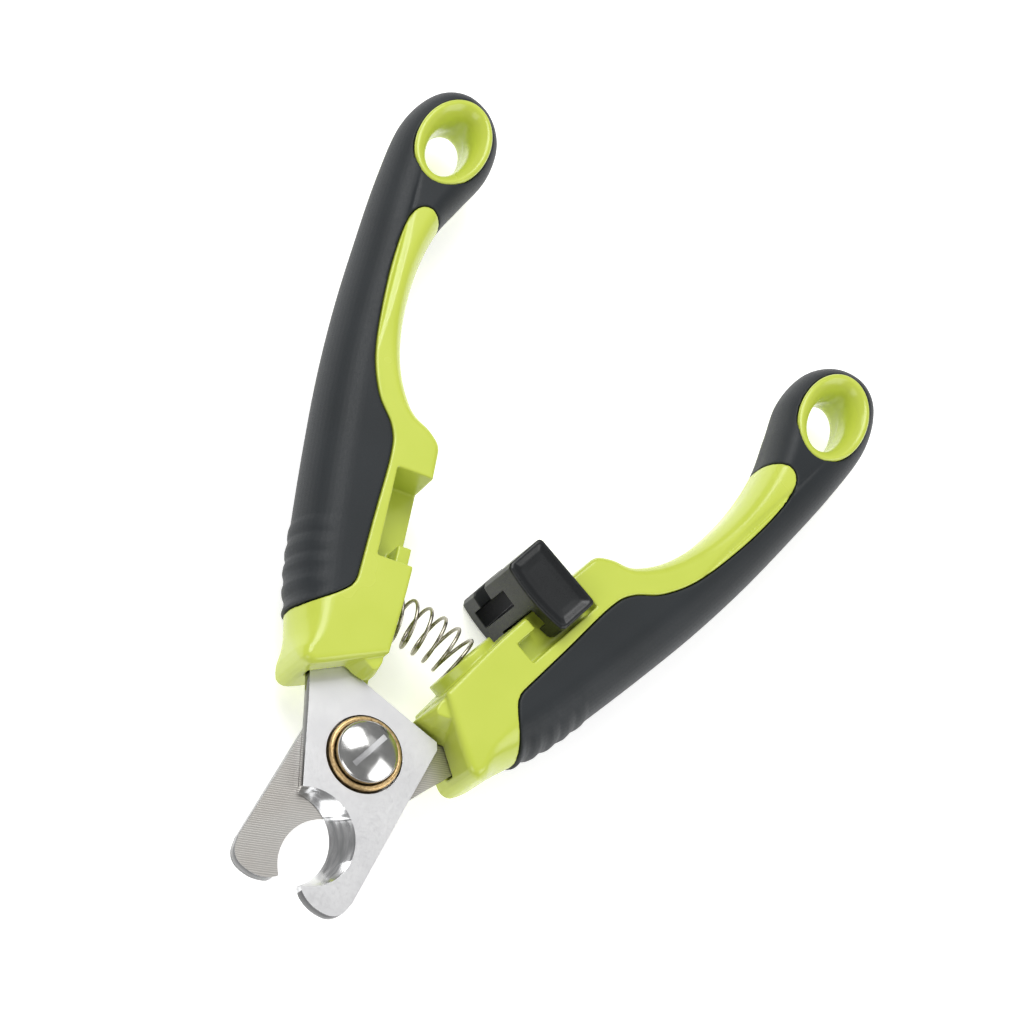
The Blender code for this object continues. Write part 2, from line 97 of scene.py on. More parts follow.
BUSHING_R = 5.72
BUSHING_BORE_R = 3.0
BUSHING_TOP_Z = 2.95
SCREW_HEAD_R = 4.75
SCREW_RIM_Z = 3.9
SCREW_TOP_Z = 5.3
SCREW_SHANK_R = 2.9
SCREW_SLOT = (9.0, 0.9, 0.72)
HEAD_SEAT_Z = 1.1
HEAD_GAP = 0.15
WASHER_R = 5.4
WASHER_THICK = 0.7
NUT_FLATS = 8.0
NUT_THICK = 2.7
NUT_TOP_Z = -BLADE_THICK - 0.1 - WASHER_THICK - 0.1

POCKET = (6.3, 29.3, 44.3)
DEEP_FLOOR_Z = -1.0
SHALLOW_FLOOR_Z = -4.5
RIB = (2.5, 33.4, 3.7)

SLIDER_X = (-7.5, 5.55)
SLIDER_Y = (35.4, 43.0)
SLIDER_SAG = 0.7
SLIDER_HALF_DEPTH = 9.6
SLIDER_WALL_X = (-2.0, 0.05)
SLIDER_PLAY = 0.35

SPRING_Y = 23.3
SPRING_COIL_R = 3.65
SPRING_WIRE_R = 0.29
SPRING_TURNS = 8.0
SPRING_SEAT_R = 4.4
SPRING_SEAT_X = 3.5
SPRING_POST_R = 2.5
SPRING_STEPS = 40
WIRE_STEPS = 12
CUP_R = 6.0
CUP_FACE_X = -1.0
CUP_BACK_X = 2.4

EYE_CENTRE = (9.0, 102.6)
EYE_AXES = (6.0, 8.5)
EYE_LEAN = 17.0

RIDGE_FIRST_Y = 20.6
RIDGE_PITCH = 3.1
RIDGE_COUNT = 4
RIDGE_HEIGHT = 0.42
LIP_Y = 18.6
LIP_HEIGHT = 0.55

GROUND_ANGLE = math.radians(27.0)
GROUND_PITCH = 0.00034

FLOOR_HALF_SIZE = 4.0
FLOOR_GLOW = 0.45
WORLD_LIGHT = 0.30
LAMPS = (
    ("key", (-0.42, 0.38, 0.72), 0.60, 6.6),
    ("fill", (0.75, -0.05, 0.55), 0.70, 4.2),
    ("front", (-0.30, -0.80, 0.55), 0.60, 2.6),
    ("top", (0.10, 0.55, 0.80), 0.45, 0.35),
)
CAMERA_LENS = 114.07
CAMERA_FROM_PIVOT = (-0.07437, -0.19741, 0.43559)
CAMERA_RIGHT = (0.80787, 0.44169, 0.3902)
CAMERA_UP = (-0.5702, 0.75319, 0.32798)

# ---- outlines: (x, y) or (x, y, edge rounding) ----
OUTER_SIDE = (
    (14.7, 11.6, 2.4),
    (15.3, 15.0, 4.2),
    (16.5, 20.0, 5.6),
    (17.8, 26.0, 6.2),
    (18.6, 34.0, 6.2),
    (19.5, 46.0, 6.2),
    (20.1, 58.0, 6.0),
    (20.1, 70.0, 5.8),
    (19.5, 82.0, 5.6),
    (18.5, 95.0, 5.0),
    (16.8, 105.6, 4.5),
    (13.0, 112.1, 4.3),
    (8.1, 114.0, 4.1),
    (3.3, 111.9, 4.0),
    (0.7, 107.0, 3.8),
    (1.2, 100.8, 3.6),
    (4.0, 94.8, 3.6),
    (7.4, 87.5, 3.4),
    (9.4, 78.5, 3.2),
    (9.7, 69.0, 3.0),
    (8.4, 60.8, 2.6),
    (5.6, 54.8, 2.1),
    (2.4, 52.3, 1.4),
    (0.5, 50.2, 1.1),
    (0.3, 47.6, 0.9),
)
INNER_SIDE = ((0.3, 44.6, 0.7), (0.4, 27.5, 0.5), (1.0, 14.8, 0.6))
NOSE_FRONT = (
    (1.0, 14.8, 0.6),
    (4.0, 13.2, 0.9),
    (7.5, 11.5, 1.0),
    (10.6, 10.0, 1.0),
    (12.4, 9.4, 1.1),
    (13.9, 9.9, 1.6),
    (14.7, 11.6, 2.4),
)
GRIP_LINE_LOW = ((24.0, 18.4), (16.6, 18.8), (14.8, 19.2), (11.8, 21.0), (9.3, 23.3), (8.7, 24.9))
GRIP_LINE_HIGH = (
    (8.7, 24.9),
    (8.4, 35.0),
    (8.0, 46.0),
    (8.9, 50.4),
    (11.9, 54.7),
    (14.0, 61.0),
    (14.8, 70.0),
    (14.7, 79.5),
    (13.6, 86.8),
    (11.2, 89.5),
    (7.8, 88.3),
    (3.0, 84.0),
    (-3.0, 82.0),
)
SPINE = (
    (13.9, 19.6),
    (16.0, 34.0),
    (17.3, 48.0),
    (17.9, 62.0),
    (17.6, 75.0),
    (16.4, 87.0),
    (13.8, 91.6),
    (11.0, 90.6),
    (11.2, 82.0),
    (11.8, 71.0),
    (10.8, 61.0),
    (8.6, 54.0),
    (7.2, 46.0),
    (7.2, 34.0),
    (8.2, 24.0),
    (11.0, 19.0),
)
BLADE_OUTER = ((11.1, 9.9), (10.2, 5.3), (9.2, -0.8), (8.1, -7.5), (6.6, -15.0))
BLADE_TIP = (
    (5.0, -22.3),
    (4.2, -23.6),
    (2.3, -24.9),
    (-0.2, -25.4),
    (-2.0, -24.6),
    (-3.2, -22.6),
)
BLADE_INNER = ((-10.9, 4.3), (-10.6, 5.5), (-9.3, 6.0), (2.7, 11.0))
NUB_OVER = (
    (1.1, 17.0),
    (1.3, 12.2),
    (2.0, 11.2),
    (3.0, 10.8),
    (4.4, 11.1),
    (6.0, 11.9),
    (8.2, 12.8),
    (8.2, 17.0),
)
NUB_STOP = (
    (1.1, 17.0),
    (1.2, 10.0),
    (1.7, 9.95),
    (2.9, 10.2),
    (4.5, 10.6),
    (6.3, 11.3),
    (8.2, 12.6),
    (8.2, 17.0),
)
NUB_TOP = (
    (1.4, 17.0),
    (1.5, 13.4),
    (1.9, 12.2),
    (2.6, 11.8),
    (3.6, 12.4),
    (4.8, 13.3),
    (7.4, 14.4),
    (7.4, 17.0),
)
TANG = ((4.8, 14.0), (4.8, TANG_END_Y), (12.0, TANG_END_Y), (12.0, 13.0))

# Each frame's flips and its turn about the pivot's axis. The right half is the left one turned over.
FLIPS = {"left": (-1, 1, 1), "right": (1, 1, -1), "plain": (1, 1, 1), "world": (1, 1, 1)}
TURNS = {"left": OPEN_HALF_ANGLE, "right": -OPEN_HALF_ANGLE, "plain": -OPEN_HALF_ANGLE, "world": 0.0}
BODIES = {"left": "left_half", "right": "right_half"}
CUTTERS = []


# ---- materials ----
class Nodes:
    """A Principled material with short calls for its nodes."""

    def __init__(self, name, colour, roughness, metallic=0.0, **settings):
        self.material = bpy.data.materials.new(name)
        self.material.use_nodes = True
        self.tree = self.material.node_tree
        self.shader = self.tree.nodes["Principled BSDF"]
        self.shader.inputs["Base Color"].default_value = (*colour, 1.0)
        self.shader.inputs["Roughness"].default_value = roughness
        self.shader.inputs["Metallic"].default_value = metallic
        for key, value in settings.items():
            self.shader.inputs[key.replace("_", " ")].default_value = value
        self.place = self.add("ShaderNodeTexCoord").outputs["Object"]

    def add(self, kind, **inputs):
        node = self.tree.nodes.new(kind)
        for key, value in inputs.items():
            self.set(node, key.replace("_", " "), value)
        return node

    def set(self, node, key, value):
        if isinstance(value, bpy.types.NodeSocket):
            self.tree.links.new(value, node.inputs[key])
        else:
            node.inputs[key].default_value = value

    def stretched(self, turn, scale):
        """Coordinates turned about z and scaled along each axis."""
        turned = self.add("ShaderNodeMapping", Vector=self.place, Rotation=(0.0, 0.0, turn))
        return self.add("ShaderNodeMapping", Vector=turned.outputs[0], Scale=scale).outputs[0]

    def noise(self, scale, detail=3.0, roughness=0.5, place=None):
        node = self.add("ShaderNodeTexNoise", Vector=place or self.place, Scale=scale, Detail=detail)
        node.inputs["Roughness"].default_value = roughness
        return node.outputs["Fac"]

    def stripes(self, place, pitch, wander):
        """Fine lines one pitch apart across y, from 0 to 1, that wander a little."""
        y = self.add("ShaderNodeSeparateXYZ", Vector=place).outputs["Y"]
        even = self.sum(y, "MULTIPLY", 2 * math.pi / pitch)
        shifted = self.sum(even, "ADD", self.sum(wander, "MULTIPLY", 5.0))
        return self.sum(self.sum(self.sum(shifted, "SINE"), "MULTIPLY", 0.5), "ADD", 0.5)

    def sum(self, first, operation, second=None):
        node = self.tree.nodes.new("ShaderNodeMath")
        node.operation = operation
        self.set(node, 0, first)
        if second is not None:
            self.set(node, 1, second)
        return node.outputs[0]

    def ranged(self, value, low, high, start=0.3, end=0.7):
        node = self.add("ShaderNodeMapRange", Value=value)
        node.inputs["From Min"].default_value = start
        node.inputs["From Max"].default_value = end
        node.inputs["To Min"].default_value = low
        node.inputs["To Max"].default_value = high
        return node.outputs[0]

    def mixed(self, value, first, second):
        node = self.tree.nodes.new("ShaderNodeMix")
        node.data_type = "RGBA"
        self.tree.links.new(value, node.inputs[0])
        for socket, colour in ((node.inputs[6], first), (node.inputs[7], second)):
            if isinstance(colour, bpy.types.NodeSocket):
                self.tree.links.new(colour, socket)
            else:
                socket.default_value = (*colour, 1.0)
        return node.outputs[2]

    def bump(self, height, depth_mm, normal=None):
        node = self.add("ShaderNodeBump", Height=height, Distance=depth_mm / 1000, Strength=1.0)
        if normal is not None:
            self.tree.links.new(normal, node.inputs["Normal"])
        return node.outputs[0]

    def give(self, colour, roughness=None, normal=None):
        """Links what varies over the piece to the shader and hands the material over."""
        for key, socket in (("Base Color", colour), ("Roughness", roughness), ("Normal", normal)):
            if socket is not None:
                self.tree.links.new(socket, self.shader.inputs[key])
        return self.material


def green_plastic():
    made = Nodes("lime_gloss", (0.51, 0.585, 0.08), 0.24)
    broad = made.noise(90.0, 2.0)
    handled = made.noise(90.0, 2.0)
    colour = made.mixed(made.ranged(broad, 0.0, 1.0), (0.49, 0.57, 0.07), (0.525, 0.60, 0.085))
    return made.give(colour, made.ranged(handled, 0.19, 0.29), made.bump(broad, 0.01))


def grip_rubber():
    made = Nodes("charcoal_grip", (0.016, 0.019, 0.022), 0.5, Specular_IOR_Level=0.35)
    grain = made.noise(5200.0, 2.0, 0.6)
    dust = made.noise(2600.0, 4.0, 0.7)
    broad = made.noise(70.0, 2.0)
    base = made.mixed(made.ranged(broad, 0.0, 1.0), (0.0115, 0.0145, 0.0165), (0.016, 0.0195, 0.0225))
    colour = made.mixed(made.ranged(dust, 0.0, 0.35, 0.66, 0.8), base, (0.07, 0.075, 0.08))
    return made.give(colour, made.ranged(grain, 0.46, 0.62), made.bump(grain, 0.012))


def satin_steel():
    made = Nodes("satin_blade", (0.60, 0.60, 0.61), 0.4, 1.0)
    grain = made.noise(3600.0, 3.0, 0.6)
    cloud = made.noise(160.0, 3.0)
    colour = made.mixed(made.ranged(cloud, 0.0, 1.0), (0.74, 0.74, 0.75), (0.81, 0.81, 0.815))
    return made.give(colour, made.ranged(grain, 0.34, 0.48), made.bump(grain, 0.006))


def ground_steel():
    made = Nodes("ground_blade", (0.62, 0.60, 0.56), 0.36, 1.0)
    across = made.stretched(-GROUND_ANGLE, (1.0, 1.0, 1.0))
    wander = made.noise(1.0, 2.0, 0.5, made.stretched(-GROUND_ANGLE, (60.0, 900.0, 60.0)))
    lines = made.stripes(across, GROUND_PITCH, wander)
    cloud = made.noise(120.0, 3.0)
    shade = made.mixed(made.ranged(cloud, 0.0, 1.0), (0.60, 0.57, 0.53), (0.66, 0.65, 0.62))
    colour = made.mixed(made.ranged(lines, 0.0, 0.55, 0.0, 1.0), shade, (0.30, 0.285, 0.27))
    return made.give(colour, made.ranged(lines, 0.28, 0.46, 0.0, 1.0), made.bump(lines, 0.008))


def polished_steel(name, shade):
    made = Nodes(name, tuple(shade * k for k in (0.98, 0.99, 1.0)), 0.16, 1.0)
    lines = made.noise(1.0, 2.0, 0.5, made.stretched(0.0, (300.0, 300.0, 3000.0)))
    low = tuple(0.84 * shade * k for k in (0.98, 0.99, 1.0))
    high = tuple(1.1 * shade * k for k in (1.0, 1.0, 1.01))
    colour = made.mixed(made.ranged(lines, 0.0, 1.0), low, high)
    return made.give(colour, made.ranged(lines, 0.12, 0.26), made.bump(lines, 0.004))


def brass():
    made = Nodes("gold_ring", (0.62, 0.43, 0.19), 0.36, 1.0)
    pits = made.noise(2400.0, 4.0, 0.65)
    colour = made.mixed(made.ranged(pits, 0.0, 1.0), (0.40, 0.25, 0.10), (0.80, 0.60, 0.32))
    return made.give(colour, made.ranged(pits, 0.26, 0.50), made.bump(pits, 0.05))


def chrome():
    made = Nodes("plated_dome", (0.62, 0.62, 0.61), 0.07, 1.0)
    haze = made.noise(600.0, 3.0)
    colour = made.mixed(made.ranged(haze, 0.0, 1.0), (0.52, 0.52, 0.51), (0.60, 0.60, 0.59))
    return made.give(colour, made.ranged(haze, 0.15, 0.21), made.bump(haze, 0.004))


def plated():
    made = Nodes("plated_steel", (0.52, 0.53, 0.54), 0.34, 1.0)
    grain = made.noise(1800.0, 3.0)
    colour = made.mixed(made.ranged(grain, 0.0, 1.0), (0.46, 0.47, 0.48), (0.58, 0.59, 0.60))
    return made.give(colour, made.ranged(grain, 0.26, 0.42), made.bump(grain, 0.008))


def wire_steel():
    made = Nodes("spring_wire", (0.36, 0.34, 0.29), 0.3, 1.0)
    drawn = made.noise(1400.0, 3.0)
    colour = made.mixed(made.ranged(drawn, 0.0, 1.0), (0.28, 0.26, 0.21), (0.46, 0.43, 0.37))
    return made.give(colour, made.ranged(drawn, 0.22, 0.38), made.bump(drawn, 0.008))


def black_plastic():
    made = Nodes("satin_black", (0.008, 0.009, 0.010), 0.33, Specular_IOR_Level=0.4)
    grain = made.noise(4200.0, 2.0, 0.6)
    broad = made.noise(180.0, 2.0)
    colour = made.mixed(made.ranged(broad, 0.0, 1.0), (0.0065, 0.0075, 0.0085), (0.010, 0.0115, 0.0125))
    return made.give(colour, made.ranged(grain, 0.27, 0.40), made.bump(grain, 0.01))


# ---- shapes ----
def curve_through(points, step=CURVE_STEP, closed=False):
    """Points about one step apart along a Catmull-Rom curve through the control points."""
    control = np.array(points, float)
    if closed:
        control = np.vstack([control[-1], control, control[0], control[1]])
    else:
        control = np.vstack([2 * control[0] - control[1], control, 2 * control[-1] - control[-2]])
    out = []
    for i in range(1, len(control) - 2):
        a, b, c, d = control[i - 1 : i + 3]
        count = max(1, int(round(np.linalg.norm((c - b)[:2]) / step)))
        for t in np.arange(count) / count:
            bend = (2 * a - 5 * b + 4 * c - d) * t**2 + (3 * b - a - 3 * c + d) * t**3
            out.append(0.5 * (2 * b + (c - a) * t + bend))
    if not closed:
        out.append(control[-2])
    return np.array(out)


def outward(loop):
    """Mitred outward directions of a counter-clockwise loop, scaled so that an offset keeps its width."""
    before = loop[:, :2] - np.roll(loop[:, :2], 1, axis=0)
    after = np.roll(loop[:, :2], -1, axis=0) - loop[:, :2]
    first = np.column_stack([before[:, 1], -before[:, 0]]) / np.linalg.norm(before, axis=1)[:, None]
    second = np.column_stack([after[:, 1], -after[:, 0]]) / np.linalg.norm(after, axis=1)[:, None]
    middle = first + second
    middle /= np.linalg.norm(middle, axis=1)[:, None]
    return middle / np.maximum((middle * first).sum(axis=1), 0.5)[:, None]


def grown(loop, distance):
    return loop[:, :2] + outward(loop) * distance


def thickness(y):
    t = np.clip((y - 70.0) / 40.0, 0.0, 1.0)
    return HALF_THICK + (RING_END_HALF_THICK - HALF_THICK) * t * t * (3 - 2 * t)


def placed(points, side):
    """Points of a half's own frame, in mm, as points of the row frame, in metres."""
    local = np.array(points, float) * FLIPS[side] / 1000
    c, s = math.cos(TURNS[side]), math.sin(TURNS[side])
    x = local[:, 0] * c - local[:, 1] * s
    y = local[:, 0] * s + local[:, 1] * c
    return np.column_stack([x, y, local[:, 2]]) + PIVOT


def object_of(name, points, faces, side, split=True):
    """A mesh object from points in a half's own frame, in mm. split cuts its faces into triangles."""
    mesh = bpy.data.meshes.new(name)
    mesh.from_pydata([tuple(p) for p in placed(points, side)], [], [tuple(f) for f in faces])
    shape = bmesh.new()
    shape.from_mesh(mesh)
    bmesh.ops.recalc_face_normals(shape, faces=shape.faces[:])
    if split:
        bmesh.ops.triangulate(shape, faces=shape.faces[:], ngon_method="EAR_CLIP")
    shape.to_mesh(mesh)
    shape.free()
    obj = bpy.data.objects.new(name, mesh)
    bpy.context.collection.objects.link(obj)
    return obj


def rings_to_faces(count, rings):
    """Faces of a stack of rings, closed at both ends."""
    faces = [tuple(range(count))[::-1]]
    for k in range(rings - 1):
        for i in range(count):
            j = (i + 1) % count
            faces.append((k * count + i, k * count + j, (k + 1) * count + j, (k + 1) * count + i))
    faces.append(tuple(range((rings - 1) * count, rings * count)))
    return faces


def looped_faces(count, rings):
    """Faces of rings whose last joins the first, as on a tube bent into a circle."""
    faces = []
    for k in range(rings):
        n = (k + 1) % rings
        for i in range(count):
            j = (i + 1) % count
            faces.append((k * count + i, k * count + j, n * count + j, n * count + i))
    return faces


def prism(name, loop, low, high, side, top_loop=None):
    base = np.array(loop, float)[:, :2]
    top = base if top_loop is None else np.array(top_loop, float)[:, :2]
    bottom_points = np.column_stack([base, np.full(len(base), low)])
    top_points = np.column_stack([top, np.full(len(top), high)])
    return object_of(name, np.vstack([bottom_points, top_points]), rings_to_faces(len(base), 2), side)


def block(name, low, high, side):
    loop = [(low[0], low[1]), (high[0], low[1]), (high[0], high[1]), (low[0], high[1])]
    return prism(name, loop, low[2], high[2], side)


def lathe(name, profile, side):
    """A turned piece about the pivot's axis, from a closed section of (radius, z). Radius 0 is the axis."""
    on_axis = profile[0][0] == 0.0
    angles = np.arange(ROUND_STEPS) * 2 * math.pi / ROUND_STEPS
    points = [(r * math.cos(a), r * math.sin(a), z) for r, z in profile for a in angles]
    faces = looped_faces(ROUND_STEPS, len(profile))
    if on_axis:
        faces = faces[: (len(profile) - 1) * ROUND_STEPS]
    obj = object_of(name, points, faces, side, split=False)
    if on_axis:
        shape = bmesh.new()
        shape.from_mesh(obj.data)
        bmesh.ops.remove_doubles(shape, verts=shape.verts[:], dist=1e-7)
        bmesh.ops.dissolve_degenerate(shape, dist=1e-7, edges=shape.edges[:])
        bmesh.ops.recalc_face_normals(shape, faces=shape.faces[:])
        shape.to_mesh(obj.data)
        shape.free()
    return obj


def boolean(obj, other, operation="DIFFERENCE"):
    made = obj.modifiers.new(other.name, "BOOLEAN")
    made.object = other
    made.operation = operation
    made.solver = "EXACT"
    CUTTERS.append(other)


def applied(obj):
    """The object with its modifiers applied."""
    graph = bpy.context.evaluated_depsgraph_get()
    mesh = bpy.data.meshes.new_from_object(obj.evaluated_get(graph))
    obj.modifiers.clear()
    obj.data = mesh
    return obj


def softened(obj, grid, passes):
    """Remakes a surface on a fine grid, lays it back on its shape and relaxes it, which rounds its edges."""
    shape = bpy.data.objects.new(obj.name + "_shape", obj.data.copy())
    bpy.context.collection.objects.link(shape)
    even = obj.modifiers.new("even", "REMESH")
    even.mode = "VOXEL"
    even.voxel_size = grid / 1000
    even.adaptivity = 0.0
    for name, count in (("settle", 4), ("lay", 0), ("relax", passes)):
        if count:
            relax = obj.modifiers.new(name, "SMOOTH")
            relax.factor = 0.5
            relax.iterations = count
        else:
            lay = obj.modifiers.new(name, "SHRINKWRAP")
            lay.target = shape
    applied(obj)
    bpy.data.objects.remove(shape, do_unlink=True)
    obj.data.shade_smooth()


def dressed(obj, look, body, node):
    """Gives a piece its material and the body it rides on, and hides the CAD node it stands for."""
    if look is not None:
        obj.data.materials.clear()
        obj.data.materials.append(look)
    if body is not None:
        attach(obj, body)
    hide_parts(node)


def handle_loop():
    outer = curve_through(OUTER_SIDE)[:-1]
    inner = curve_through(INNER_SIDE)[:-1]
    nose = curve_through(NOSE_FRONT)[:-1]
    return np.vstack([outer, inner, nose])


def ridges(loop):
    """How far the grip's outline stands out: a row of finger ridges and the lip at its end."""
    y = loop[:, 1]
    outer = np.clip((loop[:, 0] - 13.0) / 2.5, 0.0, 1.0)
    out = np.zeros(len(loop))
    for k in range(RIDGE_COUNT):
        from_top = (y - RIDGE_FIRST_Y - RIDGE_PITCH * (k + 0.5)) / (0.42 * RIDGE_PITCH)
        out += RIDGE_HEIGHT * (1 - 0.12 * k) * np.clip(1 - from_top**2, 0.0, 1.0)
    out += LIP_HEIGHT * np.exp(-(((y - LIP_Y) / 0.8) ** 2))
    return out * outer


def handle_solid(name, side, swell=None):
    """The whole moulded half with rounded edges, before it is split into core and grip."""
    loop = handle_loop()
    push = outward(loop)
    half = thickness(loop[:, 1])
    edge = loop[:, 2]
    ease = np.clip((edge - 1.5) / 3.0, 0.0, 1.0)
    tall = edge + (half - edge) * ease * ease * (3 - 2 * ease)
    extra = np.zeros(len(loop)) if swell is None else swell(loop)
    steps = [math.sin(math.radians(90 * k / EDGE_STEPS)) for k in range(EDGE_STEPS + 1)]
    levels = [(-1, s) for s in steps[::-1]] + [(1, s) for s in steps]
    points = []
    for sign, s in levels:
        round_off = math.sqrt(max(0.0, 1 - s * s))
        inset = edge * (1 - round_off) - extra * min(1.0, 1.6 * round_off)
        z = sign * np.maximum(half - tall * (1 - s), 0.06)
        points.append(np.column_stack([loop[:, :2] - push * inset[:, None], z]))
    return object_of(name, np.vstack(points), rings_to_faces(len(loop), len(levels)), side)


def grip_region(growth):
    """Everything on the grip's side of the line between the grip and the green core."""
    line = np.vstack([curve_through(GRIP_LINE_LOW)[:-1], curve_through(GRIP_LINE_HIGH)])
    corners = np.array([(-12.0, 84.0), (-12.0, 125.0), (34.0, 125.0), (34.0, 18.4)])
    loop = np.vstack([line, corners])[::-1]
    return grown(loop, growth)


def eyelet_sides():
    """The eyelet liner's section as (offset from the lip ellipse, z): its inside, then its outside."""
    lip = RING_END_HALF_THICK + 0.25
    flare = ((-0.55, lip), (-0.95, lip - 0.12), (-1.9, lip - 1.0), (-2.6, lip - 2.6), (-2.9, 0.0))
    flare = curve_through(flare, 0.25)
    inside = [tuple(p) for p in flare] + [(p[0], -p[1]) for p in flare[::-1][1:]]
    outside = [(0.0, 0.35 - lip), (-0.1, 1.0 - lip), (-1.1, 2.4 - lip), (-1.3, 0.0)]
    edge = [(-0.2, 0.1 - lip)]
    return inside, edge + outside + [(r, -z) for r, z in outside[:-1][::-1]] + [(-0.2, lip - 0.1)]


def eye_ring(offset, z):
    """The eyelet's leaning ellipse at one height, grown by an offset."""
    lean = math.radians(EYE_LEAN)
    angles = np.arange(ROUND_STEPS) * 2 * math.pi / ROUND_STEPS
    x = (EYE_AXES[0] + offset) * np.cos(angles)
    y = (EYE_AXES[1] + offset) * np.sin(angles)
    turned_x = x * math.cos(lean) - y * math.sin(lean) + EYE_CENTRE[0]
    turned_y = x * math.sin(lean) + y * math.cos(lean) + EYE_CENTRE[1]
    return np.column_stack([turned_x, turned_y, np.full(ROUND_STEPS, z)])


def make_eyelet(side, look):
    inside, outside = eyelet_sides()
    section = inside + outside
    points = np.vstack([eye_ring(r, z) for r, z in section])
    faces = looped_faces(ROUND_STEPS, len(section))
    liner = object_of(side + "_eye_liner", points, faces, side, split=False)
    liner.data.shade_smooth()
    dressed(liner, look, BODIES[side], side + "_eyelet")


def eyelet_space(side):
    """What the liner takes out of the grip, a little larger than the liner."""
    outside = eyelet_sides()[1]
    reach = RING_END_HALF_THICK + 3.0
    levels = [(0.0, -reach)] + outside + [(0.0, reach)]
    points = np.vstack([eye_ring(r + 0.15, z) for r, z in levels])
    return object_of(side + "_eye_space", points, rings_to_faces(ROUND_STEPS, len(levels)), side)


def round_along_x(name, radius, low, high, side, tip=0.0):
    """A round piece whose axis runs along x through the spring's middle, with an optional chamfered tip."""
    angles = np.arange(64) * 2 * math.pi / 64
    stations = [(low, radius), (high, radius)]
    if tip:
        stations = [(low, radius - tip), (low + tip, radius), (high, radius)]
    points = [(x, SPRING_Y + r * math.cos(a), r * math.sin(a)) for x, r in stations for a in angles]
    return object_of(name, points, rings_to_faces(64, len(stations)), side)


def nub(name, base, low, high, side):
    """A guide finger on the nose, tapering from the blades out to the face."""
    if high < low:
        return prism(name, NUB_TOP, high, low, side, top_loop=base)
    return prism(name, base, low, high, side, top_loop=NUB_TOP)


def make_core(side, look):
    core = handle_solid(side + "_body", side)
    boolean(core, prism(side + "_cut_grip", grip_region(PART_GAP), -PAST_FACE_Z, PAST_FACE_Z, side))
    spine_loop = curve_through(SPINE, closed=True)
    spine = prism(side + "_spine", spine_loop, -SPINE_HALF_THICK, SPINE_HALF_THICK, side)
    boolean(core, spine, "UNION")
    depth, low, high = POCKET
    rib_x, rib_y, rib_z = RIB
    pocket = [(-3.0, rib_y), (rib_x, rib_y), (rib_x, low), (depth, low), (depth, high), (-3.0, high)]
    boolean(core, prism(side + "_deep_pocket", pocket, DEEP_FLOOR_Z, 9.0, side))
    boolean(core, prism(side + "_shallow_pocket", pocket, -9.0, SHALLOW_FLOOR_Z, side))
    boolean(core, block(side + "_rib_top", (-3.0, low, rib_z), (rib_x + 0.1, rib_y + 0.1, 9.0), side))
    blade_loop = np.array(TANG + BLADE_OUTER + BLADE_TIP + BLADE_INNER, float)
    slot_loop = grown(blade_loop[::-1], TANG_SLOT_GAP)
    slot_z = (SHEAR_GAP - TANG_SLOT_GAP, BLADE_THICK + TANG_SLOT_GAP)
    boolean(core, prism(side + "_tang_slot", slot_loop, *slot_z, side))
    if side == "right":
        boolean(core, round_along_x("right_cup", CUP_R, CUP_FACE_X, CUP_BACK_X, side), "UNION")
    boolean(core, round_along_x(side + "_seat", SPRING_SEAT_R, -6.0, SPRING_SEAT_X, side))
    post = round_along_x(side + "_post", SPRING_POST_R, -0.3, SPRING_SEAT_X + 0.4, side, tip=0.6)
    boolean(core, post, "UNION")
    boolean(core, nub(side + "_nub_over", NUB_OVER, BLADE_THICK + 0.25, NUB_HIGH_Z, side), "UNION")
    boolean(core, nub(side + "_nub_stop", NUB_STOP, -0.2, -NUB_HIGH_Z, side), "UNION")
    softened(applied(core), PLASTIC_GRID, 3)
    dressed(core, look, BODIES[side], side + "_core")


def make_grip(side, look):
    grip = handle_solid(side + "_soft_grip", side, ridges)
    around = grown(curve_through(SPINE, closed=True), PART_GAP)
    reach = SPINE_HALF_THICK + PART_GAP
    boolean(grip, prism(side + "_spine_space", around, -reach, reach, side))
    kept = prism(side + "_keep_grip", grip_region(0.1), -PAST_FACE_Z, PAST_FACE_Z, side)
    boolean(grip, kept, "INTERSECT")
    boolean(grip, eyelet_space(side))
    softened(applied(grip), PLASTIC_GRID, 4)
    dressed(grip, look, BODIES[side], side + "_grip")


